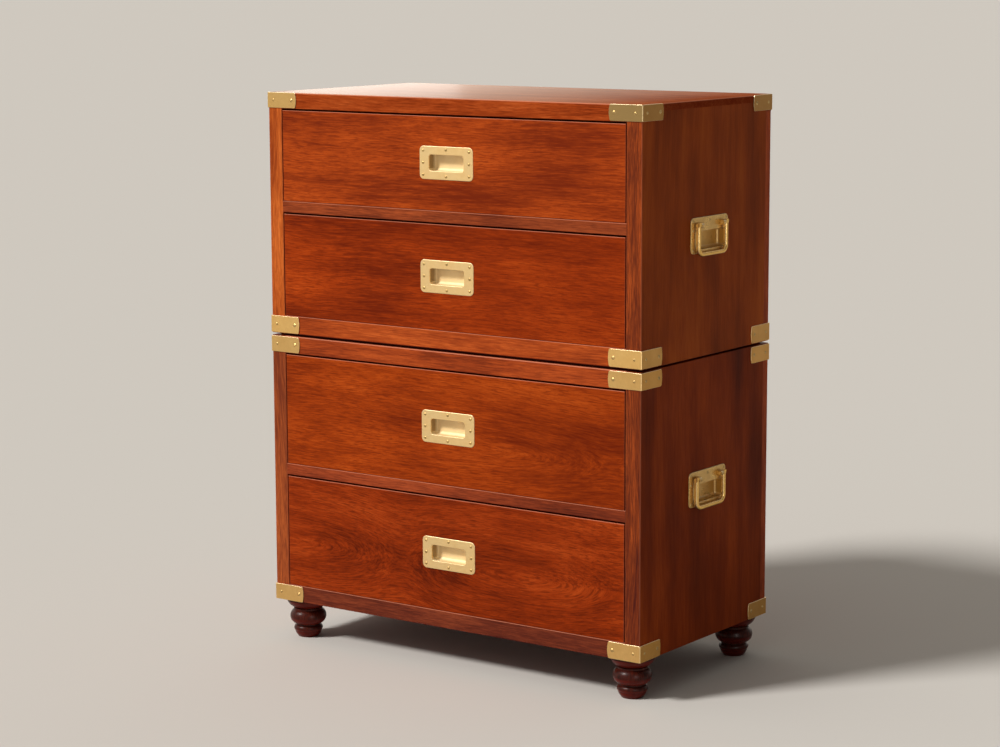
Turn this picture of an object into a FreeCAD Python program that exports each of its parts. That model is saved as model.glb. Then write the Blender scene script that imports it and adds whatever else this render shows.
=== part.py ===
"""Campaign chest of drawers: two stacking cases with flush brass fittings, in millimetres.

The origin lies on the floor under the middle of the chest. +Z is up, the drawers open towards -Y
and +X is the right-hand side of someone facing the drawers. Each sub-part goes to parts/NODE.step.
"""
import FreeCAD, Part
import math
import os

from FreeCAD import Vector

# Carcase
CASE_WIDTH = 762.0
CASE_DEPTH = 400.0
SIDE_THICKNESS = 29.0
BACK_THICKNESS = 17.5
LOWER_BOTTOM_BOARD = 29.0
LOWER_TOP_BOARD = 30.0
UPPER_BOTTOM_BOARD = 31.5
UPPER_TOP_BOARD = 27.5
TOP_LAP = 12.0  # height of the top board's end grain over the side panels
SEAM_GAP = 4.0
EDGE_ROUND = 2.0  # arris of the outer corners
RAIL_ROUND = 1.0  # arris of the rails and the drawer openings

# Case joints
TONGUE_THICKNESS = 10.0
TONGUE_LENGTH = 8.0
TONGUE_SETBACK = 14.0  # housings stop this far behind the front edge
DIVIDER_THICKNESS = 19.5
DIVIDER_DEPTH = 60.0
RUNNER_WIDTH = 26.0
REAR_RAIL_DEPTH = 40.0
TENON_LENGTH = 14.0
TENON_THICKNESS = 7.0
STOP_WIDTH = 36.0
STOP_DEPTH = 14.0
STOP_HEIGHT = 4.5
STOP_INSET = 90.0  # from the drawer opening's side to the stop's middle
BACK_BOARDS = 6
BACK_TONGUE = 5.0
BACK_BEAD = 2.0  # chamfer where two back boards meet

# Seam between the two cases
FILLET_INSET = 11.0
FILLET_LAP = 2.0  # reach of the strips past the side panels, over the boards
FILLET_WIDTH = SIDE_THICKNESS + FILLET_LAP - FILLET_INSET
PEG_RADIUS = 6.0
PEG_INSET = 62.0
PEG_BELOW = 16.0
PEG_ABOVE = 12.0
PEG_CLEARANCE = 0.3
PEG_CHAMFER = 1.5

# Turned feet
FOOT_HEIGHT = 70.0
FOOT_PATTERN_HEIGHT = 70.0  # height that the drops and heights below are given for
FOOT_STRETCH = FOOT_HEIGHT / FOOT_PATTERN_HEIGHT
FOOT_MARGIN = 2.0  # between a foot's flange and the case's faces
FOOT_FLANGE_RADIUS = 37.0
FOOT_FLANGE_DROP = 4.0  # drops are measured down from the foot's top
FOOT_CUSHION_RADIUS = 32.5
FOOT_CUSHION_DROP = 11.5
FOOT_COLLAR_RADIUS = 25.5
FOOT_COLLAR_DROP = 18.0
FOOT_COLLAR_HEIGHT = 3.0
FOOT_BULB_RADIUS = 32.0
FOOT_BULB_DROP = 34.0
FOOT_NECK_RADIUS = 21.5
FOOT_NECK_DROP = 47.0
FOOT_RING_RADIUS = 25.5
FOOT_RING_DROP = 54.5
FOOT_RING_HEIGHT = 9.0
FOOT_RING_FALL = 2.0  # from the ring's largest radius to its edges
FOOT_QUIRK = 1.0
FOOT_TAPER_RADIUS = 21.9
FOOT_TAPER_LEVEL = 6.0
FOOT_SOLE_RADIUS = 18.5
FOOT_SOLE_EASE = 1.5
FOOT_SPIGOT_RADIUS = 9.0
FOOT_SPIGOT_LENGTH = 18.0
SPIGOT_CLEARANCE = 0.2
FOOT_INSET = FOOT_FLANGE_RADIUS + FOOT_MARGIN

# Drawers
UPPER_OPENINGS = {"drawer_2": 179.5, "drawer_1": 158.5}  # heights, lowest first
LOWER_OPENINGS = {"drawer_4": 197.5, "drawer_3": 195.5}
DRAWER_SIDE_GAP = 1.8
DRAWER_TOP_GAP = 2.8
RUNNING_CLEARANCE = 0.3
STOP_CLEARANCE = 0.2
DRAWER_REAR_GAP = 6.5
FRONT_THICKNESS = 22.0
DRAWER_SIDE_THICKNESS = 11.0
DRAWER_BACK_THICKNESS = 11.0
DRAWER_BACK_DROP = 8.0  # the back stands this far below the sides' top edges
PANEL_THICKNESS = 6.5
PANEL_RAISE = 8.0
GROOVE_DEPTH = 5.0
FRONT_LAP = 5.0  # wood left in front of the half-blind dovetails
TAIL_PITCH = 33.0
TAIL_SHARE = 0.62  # a tail's narrow width as a share of its pitch
TAIL_SLOPE = 1.0 / 7.0

# Flush pulls of the drawers
PULL_PROUD = 1.0
PLATE_THICKNESS = 2.5
PLATE_CORNER = 8.0
PLATE_ROUND = 0.9  # face edge of a plate
OPENING_ROUND = 0.6  # face edge of a plate's opening
PULL_OPENING_WIDTH = 71.0
PULL_OPENING_HEIGHT = 27.0
PULL_OPENING_CORNER = 4.5
PULL_SIDE_BORDER = 19.0
PULL_END_BORDER = 14.0  # above and below the opening
PULL_DEPTH = 16.0
PULL_UNDERCUT = 4.0
PAN_WALL = 1.2
PAN_CORNER = 5.0
PAN_FLOOR_ROUND = 4.9
LET_IN_CLEARANCE = 0.2
PULL_WIDTH = PULL_OPENING_WIDTH + 2 * PULL_SIDE_BORDER
PULL_HEIGHT = PULL_OPENING_HEIGHT + 2 * PULL_END_BORDER

# Lifting handles of the sides
HANDLE_PROUD = 1.5
HANDLE_RISE = 256.8  # middle of the lower plate above the lower case's underside
UPPER_HANDLE_RISE = 198.7
HANDLE_OFFSET = 2.0  # middle of a plate behind the case's middle
HANDLE_OPENING_WIDTH = 90.0
HANDLE_OPENING_HEIGHT = 30.0
HANDLE_SIDE_BORDER = 12.5
HANDLE_TOP_BORDER = 22.45
HANDLE_BOTTOM_BORDER = 6.05
HANDLE_DEPTH = 14.0
LUG_SPACING = 69.0
LUG_WIDTH = 8.0
PIVOT_RISE = 9.95  # from the opening's top edge to the bail's pivot
PIVOT_PROUD = 6.5  # from the side panel to the pivot
LUG_RADIUS = 4.2
PIN_RADIUS = 2.4
PIN_CLEARANCE = 0.08
BAIL_CLEARANCE = 0.5  # between a leg and the ear that it hangs from
BAIL_BAR = 7.0
BAIL_HANG = 5.0  # the bail's lowest edge under the plate's
BAIL_CORNER = 15.0
BAIL_EASE = 2.6
HEEL_CLEARANCE = 0.6  # between the level bail's heel and the plate, before it stops there
HANDLE_WIDTH = HANDLE_OPENING_WIDTH + 2 * HANDLE_SIDE_BORDER
HANDLE_HEIGHT = HANDLE_OPENING_HEIGHT + HANDLE_TOP_BORDER + HANDLE_BOTTOM_BORDER
BAIL_WIDTH = LUG_SPACING + LUG_WIDTH + 2 * (BAIL_CLEARANCE + BAIL_BAR)
BAIL_HEEL = PIVOT_PROUD - HANDLE_PROUD - HEEL_CLEARANCE

# Corner straps
STRAP_THICKNESS = 1.5
STRAP_FRONT_LEG = 62.0
STRAP_SIDE_LEG = 60.0
STRAP_BOW = 1.4
STRAP_CORNER = 3.0
STRAP_BEND = 1.8
STRAP_EDGE = 0.45  # rounding of the outer edges
STRAP_EDGE_SETBACK = 1.2  # between a strap and the seam's edge
STRAP_OPENING_SETBACK = 1.2  # between a strap and the drawer opening's edge

# Wood screws with domed heads
SCREW_SHANK_RADIUS = 1.3
SCREW_LENGTH = 12.0
SCREW_POINT = 3.0
SCREW_DOME = 1.2
SLOT_WIDTH = 0.7
SLOT_DEPTH = 0.7
SLOT_TURN_X = 41.0  # degrees that a slot is turned per mm of its place, so that no two agree
SLOT_TURN_Z = 23.0
SCREW_CLEARANCE = 0.15
PLATE_HEAD_RADIUS = 2.6
STRAP_END_HEAD_RADIUS = 3.2
STRAP_CORNER_HEAD_RADIUS = 2.5
STRAP_END_SCREW = 10.0  # from a leg's bowed end
STRAP_CORNER_SCREW = 12.0  # from the case's corner
PULL_SCREW_INSET = 7.5  # from the plate's edges
PULL_PAN_SCREW_GAP = 3.3  # from the pan's outside to the middle screws
HANDLE_SCREW_SIDE_INSET = 6.5
HANDLE_SCREW_END_INSET = 5.75
HANDLE_MIDDLE_SCREW_INSET = 6.25
HANDLE_SCREW_STEP = 15.0  # from an upper screw to the one below it

# Levels that follow from the sizes above
HALF_WIDTH = CASE_WIDTH / 2
FRONT = -CASE_DEPTH / 2
BACK = CASE_DEPTH / 2
BACK_INNER = BACK - BACK_THICKNESS
OPENING_HALF = HALF_WIDTH - SIDE_THICKNESS
PIVOT_LEVEL = HANDLE_HEIGHT / 2 - HANDLE_TOP_BORDER + PIVOT_RISE


def box(x_range, y_range, z_range):
    """A block between two values on each axis."""
    corner = Vector(x_range[0], y_range[0], z_range[0])
    return Part.makeBox(
        x_range[1] - x_range[0],
        y_range[1] - y_range[0],
        z_range[1] - z_range[0],
        corner,
    )


def mirrored(shape, normal):
    """The shape's reflection in the plane through the origin across a normal."""
    return shape.mirror(Vector(0, 0, 0), normal)


def left_of(shape):
    return mirrored(shape, Vector(1, 0, 0))


def moved(shape, x=0.0, y=0.0, z=0.0):
    """A copy of the shape, moved."""
    copy = shape.copy()
    copy.translate(Vector(x, y, z))
    return copy


def prism(points, direction):
    """The solid swept by a closed polygon along a vector."""
    outline = Part.makePolygon(points + [points[0]])
    return Part.Face(outline).extrude(direction)


def edges_near(shape, axis, coordinate, along=None):
    """The edges that lie at a coordinate on an axis, and where asked only those along another."""
    found = []
    for edge in shape.Edges:
        ends = [getattr(vertex.Point, axis) for vertex in edge.Vertexes]
        if any(abs(end - coordinate) > 1e-4 for end in ends):
            continue
        if along:
            spread = edge.Vertexes[0].Point - edge.Vertexes[-1].Point
            if abs(getattr(spread, along)) < spread.Length - 1e-4 or spread.Length < 1e-4:
                continue
        found.append(edge)
    return found


def edges_along(shape, axis):
    """The straight edges that run along an axis."""
    found = []
    for edge in shape.Edges:
        if len(edge.Vertexes) < 2 or edge.Curve.TypeId != "Part::GeomLine":
            continue
        spread = edge.Vertexes[0].Point - edge.Vertexes[1].Point
        if abs(getattr(spread, axis)) > spread.Length - 1e-4:
            found.append(edge)
    return found


def save(node, *solids):
    """Writes one sub-part as parts/NODE.step."""
    shape = solids[0] if len(solids) == 1 else Part.makeCompound(list(solids))
    shape.exportStep(f"parts/{node}.step")


class Case:
    """One of the two cases: its levels, drawer openings and the height of its handles."""

    def __init__(self, name, base, boards, openings, top_lap, handle_rise, seam_at_top):
        self.name = name
        self.base = base
        self.bottom_board, self.top_board = boards
        self.floor = base + self.bottom_board
        self.openings = {}
        self.dividers = []
        level = self.floor
        for drawer, height in openings.items():
            if level > self.floor:
                self.dividers.append(level)
                level += DIVIDER_THICKNESS
            self.openings[drawer] = (level, level + height)
            level += height
        self.ceiling = level
        self.top = level + self.top_board
        self.side_top = self.top - top_lap if top_lap else self.top
        self.lapped = bool(top_lap)
        self.handle_level = base + handle_rise
        self.seam_at_top = seam_at_top


LOWER = Case(
    "lower",
    FOOT_HEIGHT,
    (LOWER_BOTTOM_BOARD, LOWER_TOP_BOARD),
    LOWER_OPENINGS,
    0.0,
    HANDLE_RISE,
    True,
)
UPPER = Case(
    "upper",
    LOWER.top + SEAM_GAP,
    (UPPER_BOTTOM_BOARD, UPPER_TOP_BOARD),
    UPPER_OPENINGS,
    TOP_LAP,
    UPPER_HANDLE_RISE,
    False,
)


# Carcase ---------------------------------------------------------------------------------------


def end_tongues(level, thickness, y_end):
    """The tongues on both ends of a board, which the side panels' housings take."""
    low = level + (thickness - TONGUE_THICKNESS) / 2
    right = box(
        (OPENING_HALF, OPENING_HALF + TONGUE_LENGTH),
        (FRONT + TONGUE_SETBACK, y_end),
        (low, low + TONGUE_THICKNESS),
    )
    return [right, left_of(right)]


def housed_board(level, thickness, y_end, seam_edge=None):
    """A board or rail across the case, between the sides, with its front arrises eased."""
    board = box((-OPENING_HALF, OPENING_HALF), (FRONT, y_end), (level, level + thickness))
    rounds = {level: RAIL_ROUND, level + thickness: RAIL_ROUND}
    if seam_edge is not None:
        rounds[seam_edge] = EDGE_ROUND
    for height, radius in rounds.items():
        front_edges = edges_near(board, "y", FRONT, "x")
        chosen = [edge for edge in front_edges if abs(edge.Vertexes[0].Z - height) < 1e-4]
        board = board.makeFillet(radius, chosen)
    return board.multiFuse(end_tongues(level, thickness, y_end))


def lapped_top(case):
    """The chest's top: its ends lie over the side panels and its arrises are rounded."""
    board = box((-HALF_WIDTH, HALF_WIDTH), (FRONT, BACK), (case.ceiling, case.top))
    board = board.makeFillet(EDGE_ROUND, edges_near(board, "z", case.top))
    lower_front = [
        edge
        for edge in edges_near(board, "y", FRONT, "x")
        if abs(edge.Vertexes[0].Z - case.ceiling) < 1e-4
    ]
    board = board.makeFillet(RAIL_ROUND, lower_front)
    rebate = box((OPENING_HALF, HALF_WIDTH), (FRONT, BACK_INNER), (case.ceiling, case.side_top))
    return board.cut(rebate).cut(left_of(rebate))


def side_panel(case, housed, plate_pocket):
    """The right-hand side panel, with its housings and the recess for the handle's plate."""
    panel = box((OPENING_HALF, HALF_WIDTH), (FRONT, BACK_INNER), (case.base, case.side_top))
    outer = [edge for edge in edges_near(panel, "x", HALF_WIDTH, "z") if edge.Vertexes[0].Y < 0]
    panel = panel.makeFillet(EDGE_ROUND, outer)
    inner = [edge for edge in edges_near(panel, "x", OPENING_HALF, "z") if edge.Vertexes[0].Y < 0]
    panel = panel.makeFillet(RAIL_ROUND, inner)
    for tongue in housed:
        panel = panel.cut(tongue)
    return panel.cut(plate_pocket)


def back_boards(case):
    """Tongued and grooved vertical boards that cover the case's back."""
    top = case.ceiling if case.lapped else case.top
    width = CASE_WIDTH / BACK_BOARDS
    tongue_near = BACK_INNER + (BACK_THICKNESS - BACK_TONGUE) / 2
    tongue_far = tongue_near + BACK_TONGUE
    boards = []
    for number in range(BACK_BOARDS):
        left = -HALF_WIDTH + number * width
        right = left + width
        left_joined = number > 0
        right_joined = number < BACK_BOARDS - 1
        outline = [(left, BACK_INNER), (right, BACK_INNER)]
        if right_joined:
            outline += [
                (right, tongue_near),
                (right + BACK_TONGUE, tongue_near),
                (right + BACK_TONGUE, tongue_far),
                (right, tongue_far),
            ]
        outline += [(right, BACK - BACK_BEAD), (right - BACK_BEAD, BACK)]
        outline += [(left + BACK_BEAD, BACK), (left, BACK - BACK_BEAD)]
        if left_joined:
            outline += [
                (left, tongue_far),
                (left + BACK_TONGUE, tongue_far),
                (left + BACK_TONGUE, tongue_near),
                (left, tongue_near),
            ]
        points = [Vector(x, y, case.base) for x, y in outline]
        boards.append(prism(points, Vector(0, 0, top - case.base)))
    return boards


def web_frame(level):
    """Two runners and a rear rail, tenoned together, that carry the drawer above a divider."""
    top = level + DIVIDER_THICKNESS
    tenon_low = level + (DIVIDER_THICKNESS - TENON_THICKNESS) / 2
    tenon_levels = (tenon_low, tenon_low + TENON_THICKNESS)
    front_end = FRONT + DIVIDER_DEPTH
    rear_end = BACK_INNER - REAR_RAIL_DEPTH
    inner = OPENING_HALF - RUNNER_WIDTH
    runner = box((inner, OPENING_HALF), (front_end, rear_end), (level, top))
    tenon = box((inner, OPENING_HALF), (front_end - TENON_LENGTH, front_end), tenon_levels)
    rear_tenon = box((inner, OPENING_HALF), (rear_end, rear_end + TENON_LENGTH), tenon_levels)
    right = runner.multiFuse([tenon, rear_tenon])
    left = left_of(right)
    rear_rail = box((-OPENING_HALF, OPENING_HALF), (rear_end, BACK_INNER), (level, top))
    return [right, left, rear_rail.cut(right).cut(left)]


def divider_rail(level, frame):
    """The rail between two drawers, mortised for the web frame behind it."""
    rail = housed_board(level, DIVIDER_THICKNESS, FRONT + DIVIDER_DEPTH)
    for runner in frame[:2]:
        rail = rail.cut(runner)
    return rail


def drawer_stops(level):
    """Two blocks behind a closed drawer's front, on the rail or board that it runs on."""
    near = FRONT + FRONT_THICKNESS + STOP_CLEARANCE
    middle = OPENING_HALF - STOP_INSET
    right = box(
        (middle - STOP_WIDTH / 2, middle + STOP_WIDTH / 2),
        (near, near + STOP_DEPTH),
        (level, level + STOP_HEIGHT),
    )
    return [right, left_of(right)]


# Seam and feet ---------------------------------------------------------------------------------


def four_corners(x, y):
    return [Vector(x * side, y * end, 0) for side in (-1, 1) for end in (-1, 1)]


def stacking_pegs():
    """Pegs in the lower case that locate the upper one."""
    bottom = LOWER.top - PEG_BELOW
    length = PEG_BELOW + SEAM_GAP + PEG_ABOVE
    peg = Part.makeCylinder(PEG_RADIUS, length, Vector(0, 0, bottom))
    peg = peg.makeChamfer(PEG_CHAMFER, edges_near(peg, "z", bottom + length))
    places = four_corners(HALF_WIDTH - PEG_INSET, BACK - PEG_INSET)
    return [moved(peg, place.x, place.y) for place in places]


def peg_sockets():
    """The blind holes above the pegs, in the upper case."""
    depth = SEAM_GAP + PEG_ABOVE + 2 * PEG_CLEARANCE
    socket = Part.makeCylinder(PEG_RADIUS + PEG_CLEARANCE, depth, Vector(0, 0, LOWER.top))
    places = four_corners(HALF_WIDTH - PEG_INSET, BACK - PEG_INSET)
    return [moved(socket, place.x, place.y) for place in places]


def seam_fillets():
    """Four mitred strips on the lower case, set in from its faces, that the upper case rests on."""
    outer_x = HALF_WIDTH - FILLET_INSET
    outer_y = BACK - FILLET_INSET
    inner_x = outer_x - FILLET_WIDTH
    inner_y = outer_y - FILLET_WIDTH
    up = Vector(0, 0, SEAM_GAP)
    front_outline = [(-outer_x, -outer_y), (outer_x, -outer_y), (inner_x, -inner_y), (-inner_x, -inner_y)]
    front = prism([Vector(x, y, LOWER.top) for x, y in front_outline], up)
    side_outline = [(outer_x, -outer_y), (outer_x, outer_y), (inner_x, inner_y), (inner_x, -inner_y)]
    side = prism([Vector(x, y, LOWER.top) for x, y in side_outline], up)
    return [front, mirrored(front, Vector(0, 1, 0)), side, left_of(side)]


def foot_spigot(clearance=0.0):
    """The turned spigot that goes up into the case's bottom board."""
    radius = FOOT_SPIGOT_RADIUS + clearance
    return Part.makeCylinder(radius, FOOT_SPIGOT_LENGTH + clearance, Vector(0, 0, FOOT_HEIGHT))


def spigot_bores():
    """The four feet's bores, up into whatever wood stands over them."""
    bore = foot_spigot(SPIGOT_CLEARANCE)
    places = four_corners(HALF_WIDTH - FOOT_INSET, BACK - FOOT_INSET)
    return [moved(bore, place.x, place.y) for place in places]


def arc(start, middle, end):
    return Part.Arc(Vector(*start), Vector(*middle), Vector(*end)).toShape()


def line(start, end):
    return Part.LineSegment(Vector(*start), Vector(*end)).toShape()


def foot_level(drop):
    """The level of a member whose drop from the foot's top is given for the pattern's height."""
    return FOOT_HEIGHT - drop * FOOT_STRETCH


def turned_foot():
    """A foot turned from one piece: flange, cushion, collar, bulb, neck, ring and tapered sole."""
    top = FOOT_HEIGHT
    flange_low = (FOOT_FLANGE_RADIUS, 0, foot_level(FOOT_FLANGE_DROP))
    cushion_low = (FOOT_COLLAR_RADIUS - 2 * FOOT_QUIRK, 0, foot_level(FOOT_COLLAR_DROP) + FOOT_QUIRK)
    collar_high = (FOOT_COLLAR_RADIUS, 0, foot_level(FOOT_COLLAR_DROP))
    collar_low = (FOOT_COLLAR_RADIUS, 0, foot_level(FOOT_COLLAR_DROP + FOOT_COLLAR_HEIGHT))
    neck_high = (FOOT_NECK_RADIUS, 0, foot_level(FOOT_NECK_DROP))
    ring_top = foot_level(FOOT_RING_DROP - FOOT_RING_HEIGHT / 2)
    ring_edge = FOOT_RING_RADIUS - FOOT_RING_FALL
    neck_low = (FOOT_NECK_RADIUS, 0, ring_top + FOOT_QUIRK)
    ring_high = (ring_edge, 0, ring_top)
    ring_low = (ring_edge, 0, foot_level(FOOT_RING_DROP + FOOT_RING_HEIGHT / 2))
    sole_high = (FOOT_SOLE_RADIUS, 0, FOOT_SOLE_EASE)
    sole_low = (FOOT_SOLE_RADIUS - FOOT_SOLE_EASE, 0, 0)
    ease = FOOT_SOLE_EASE * (1 - math.sqrt(0.5))
    profile = [
        line((0, 0, 0), sole_low),
        arc(sole_low, (FOOT_SOLE_RADIUS - ease, 0, ease), sole_high),
        arc(sole_high, (FOOT_TAPER_RADIUS, 0, FOOT_TAPER_LEVEL * FOOT_STRETCH), ring_low),
        arc(ring_low, (FOOT_RING_RADIUS, 0, foot_level(FOOT_RING_DROP)), ring_high),
        line(ring_high, neck_low),
        line(neck_low, neck_high),
        arc(neck_high, (FOOT_BULB_RADIUS, 0, foot_level(FOOT_BULB_DROP)), collar_low),
        line(collar_low, collar_high),
        line(collar_high, cushion_low),
        arc(cushion_low, (FOOT_CUSHION_RADIUS, 0, foot_level(FOOT_CUSHION_DROP)), flange_low),
        line(flange_low, (FOOT_FLANGE_RADIUS, 0, top)),
        line((FOOT_FLANGE_RADIUS, 0, top), (0, 0, top)),
        line((0, 0, top), (0, 0, 0)),
    ]
    face = Part.Face(Part.Wire(profile))
    return face.revolve(Vector(0, 0, 0), Vector(0, 0, 1), 360).fuse(foot_spigot())


# Drawers ---------------------------------------------------------------------------------------


def dovetails(shoulder, end, z_range, x_range):
    """A row of tails that widen from the shoulder to their ends."""
    low, high = z_range
    count = max(2, round((high - low) / TAIL_PITCH))
    pitch = (high - low) / count
    narrow = pitch * TAIL_SHARE / 2
    wide = narrow + abs(end - shoulder) * TAIL_SLOPE
    tails = []
    for number in range(count):
        middle = low + (number + 0.5) * pitch
        outline = [
            (shoulder, middle - narrow),
            (end, middle - wide),
            (end, middle + wide),
            (shoulder, middle + narrow),
        ]
        points = [Vector(x_range[0], y, z) for y, z in outline]
        tails.append(prism(points, Vector(x_range[1] - x_range[0], 0, 0)))
    return tails


def drawer_sides(opening):
    """The right and left sides, the back, the front blank and the panel of one drawer."""
    low = opening[0] + RUNNING_CLEARANCE
    high = opening[1] - DRAWER_TOP_GAP
    outer = OPENING_HALF - DRAWER_SIDE_GAP
    inner = outer - DRAWER_SIDE_THICKNESS
    front_inner = FRONT + FRONT_THICKNESS
    rear = BACK_INNER - DRAWER_REAR_GAP
    panel_levels = (low + PANEL_RAISE, low + PANEL_RAISE + PANEL_THICKNESS)

    front = box((-outer, outer), (FRONT, front_inner), (low, high))
    front = front.makeFillet(RAIL_ROUND, edges_near(front, "y", FRONT))
    front_tails = dovetails(front_inner, FRONT + FRONT_LAP, (low, high), (inner, outer))
    for tail in front_tails:
        front = front.cut(tail).cut(left_of(tail))

    back_levels = (panel_levels[1], high - DRAWER_BACK_DROP)
    back_near = rear - DRAWER_BACK_THICKNESS
    back = box((-outer, outer), (back_near, rear), back_levels)
    back_tails = dovetails(back_near, rear, back_levels, (inner, outer))
    for tail in back_tails:
        back = back.cut(tail).cut(left_of(tail))

    panel = box(
        (-inner - GROOVE_DEPTH, inner + GROOVE_DEPTH),
        (front_inner - GROOVE_DEPTH, rear),
        panel_levels,
    )
    side = box((inner, outer), (FRONT + FRONT_LAP, rear), (low, high))
    side = side.cut(front).cut(back).cut(panel)
    return {"front": front.cut(panel), "side": side, "back": back, "panel": panel}


def save_drawer(name, opening):
    """One drawer: dovetailed box, grooved bottom panel and flush pull."""
    pieces = drawer_sides(opening)
    pull_level = sum(opening) / 2
    pocket = moved(PULL.pocket(), y=FRONT, z=pull_level)
    save(f"{name}_front", pieces["front"].cut(pocket))
    save(f"{name}_side_right", pieces["side"])
    save(f"{name}_side_left", left_of(pieces["side"]))
    save(f"{name}_back", pieces["back"])
    save(f"{name}_bottom_panel", pieces["panel"])
    save(f"{name}_pull", moved(flush_pull(), y=FRONT, z=pull_level))
    screws = screws_at(pull_screw_places(), PULL_PROUD)
    save(f"{name}_pull_screws", *[moved(piece, y=FRONT, z=pull_level) for piece in screws])


# Brass fittings, made facing -Y with their middle at the origin ---------------------------------


def centred_slab(width, height, y_range, corner, level=0.0):
    """A slab with rounded corners, as wide and high as given, between two depths."""
    slab = box(
        (-width / 2, width / 2),
        y_range,
        (level - height / 2, level + height / 2),
    )
    return slab.makeFillet(corner, edges_along(slab, "y"))


class Fitting:
    """A brass plate let into the wood, with a recessed pan behind its opening."""

    def __init__(self, plate_size, proud, pan_size, pan_level, depth):
        self.width, self.height = plate_size
        self.proud = proud
        self.let_in = PLATE_THICKNESS - proud
        self.pan_width, self.pan_height = pan_size
        self.pan_level = pan_level
        self.pan_floor = depth - proud

    def plate(self, opening):
        """The plate with an opening through it, and the face edges of both rounded."""
        depths = (-self.proud, self.let_in)
        plate = centred_slab(self.width, self.height, depths, PLATE_CORNER)
        plate = plate.makeFillet(PLATE_ROUND, edges_near(plate, "y", -self.proud))
        pierced = plate.cut(opening)
        reach = opening.BoundBox
        reach.enlarge(OPENING_ROUND)
        rim = [
            edge
            for edge in edges_near(pierced, "y", -self.proud)
            if all(reach.isInside(vertex.Point) for vertex in edge.Vertexes)
        ]
        return pierced.makeFillet(OPENING_ROUND, rim)

    def pan(self, start, margin=0.0):
        """The pan's hollow from a depth to its rounded floor, grown by a margin."""
        form = centred_slab(
            self.pan_width + 2 * margin,
            self.pan_height + 2 * margin,
            (start, self.pan_floor + margin),
            PAN_CORNER + margin,
            self.pan_level,
        )
        floor_edges = edges_near(form, "y", self.pan_floor + margin)
        return form.makeFillet(PAN_FLOOR_ROUND + margin, floor_edges)

    def pocket(self):
        """The recess in the wood for the plate, and the mortise for the pan."""
        clear = LET_IN_CLEARANCE
        recess = centred_slab(
            self.width + 2 * clear,
            self.height + 2 * clear,
            (-self.proud, self.let_in),
            PLATE_CORNER + clear,
        )
        outer = PAN_WALL + clear
        mortise = centred_slab(
            self.pan_width + 2 * outer,
            self.pan_height + 2 * outer,
            (0.0, self.pan_floor + outer),
            PAN_CORNER + outer,
            self.pan_level,
        )
        return recess.fuse(mortise)


PULL = Fitting(
    (PULL_WIDTH, PULL_HEIGHT),
    PULL_PROUD,
    (PULL_OPENING_WIDTH, PULL_OPENING_HEIGHT + PULL_UNDERCUT),
    PULL_UNDERCUT / 2,
    PULL_DEPTH,
)
HANDLE = Fitting(
    (HANDLE_WIDTH, HANDLE_HEIGHT),
    HANDLE_PROUD,
    (HANDLE_OPENING_WIDTH, HANDLE_OPENING_HEIGHT),
    (HANDLE_BOTTOM_BORDER - HANDLE_TOP_BORDER) / 2,
    HANDLE_DEPTH,
)


def screw(head_radius):
    """A wood screw that faces -Y, with the underside of its domed head at the origin."""
    shank = SCREW_SHANK_RADIUS
    sphere = (head_radius**2 + SCREW_DOME**2) / (2 * SCREW_DOME)
    centre = sphere - SCREW_DOME
    half_angle = math.asin(head_radius / sphere) / 2
    dome_middle = (sphere * math.sin(half_angle), centre - sphere * math.cos(half_angle), 0)
    profile = [
        line((0, -SCREW_DOME, 0), (0, SCREW_LENGTH, 0)),
        line((0, SCREW_LENGTH, 0), (shank, SCREW_LENGTH - SCREW_POINT, 0)),
        line((shank, SCREW_LENGTH - SCREW_POINT, 0), (shank, 0, 0)),
        line((shank, 0, 0), (head_radius, 0, 0)),
        arc((head_radius, 0, 0), dome_middle, (0, -SCREW_DOME, 0)),
    ]
    turned = Part.Face(Part.Wire(profile)).revolve(Vector(0, 0, 0), Vector(0, 1, 0), 360)
    slot = box(
        (-head_radius, head_radius),
        (-SCREW_DOME, SLOT_DEPTH - SCREW_DOME),
        (-SLOT_WIDTH / 2, SLOT_WIDTH / 2),
    )
    return turned.cut(slot)


def screws_at(places, proud, head_radius=PLATE_HEAD_RADIUS):
    """Screws at (x, z) places, their heads on a face that stands proud of the wood."""
    driven = []
    for x, z in places:
        turned = screw(head_radius)
        turned.rotate(Vector(0, 0, 0), Vector(0, 1, 0), x * SLOT_TURN_X + z * SLOT_TURN_Z)
        driven.append(moved(turned, x, -proud, z))
    return driven


def drilled(plate, places):
    """The plate with a clearance hole at each (x, z) place."""
    radius = SCREW_SHANK_RADIUS + SCREW_CLEARANCE
    for x, z in places:
        start = Vector(x, -PLATE_THICKNESS, z)
        plate = plate.cut(Part.makeCylinder(radius, 2 * PLATE_THICKNESS, start, Vector(0, 1, 0)))
    return plate


def pull_screw_places():
    """Three screws down each side of a pull, and one above and one below its pan."""
    side = PULL_WIDTH / 2 - PULL_SCREW_INSET
    end = PULL_HEIGHT / 2 - PULL_SCREW_INSET
    middle = PULL_OPENING_HEIGHT / 2 + PULL_UNDERCUT + PAN_WALL + PULL_PAN_SCREW_GAP
    return [(x, z) for x in (-side, side) for z in (-end, 0, end)] + [(0, -middle), (0, middle)]


def handle_screw_places():
    """Three screws down each side of a handle's plate, and one at the middle of its top."""
    side = HANDLE_WIDTH / 2 - HANDLE_SCREW_SIDE_INSET
    end = HANDLE_HEIGHT / 2 - HANDLE_SCREW_END_INSET
    rises = (-end, end - HANDLE_SCREW_STEP, end)
    middle = HANDLE_HEIGHT / 2 - HANDLE_MIDDLE_SCREW_INSET
    return [(x, z) for x in (-side, side) for z in rises] + [(0, middle)]


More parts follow.
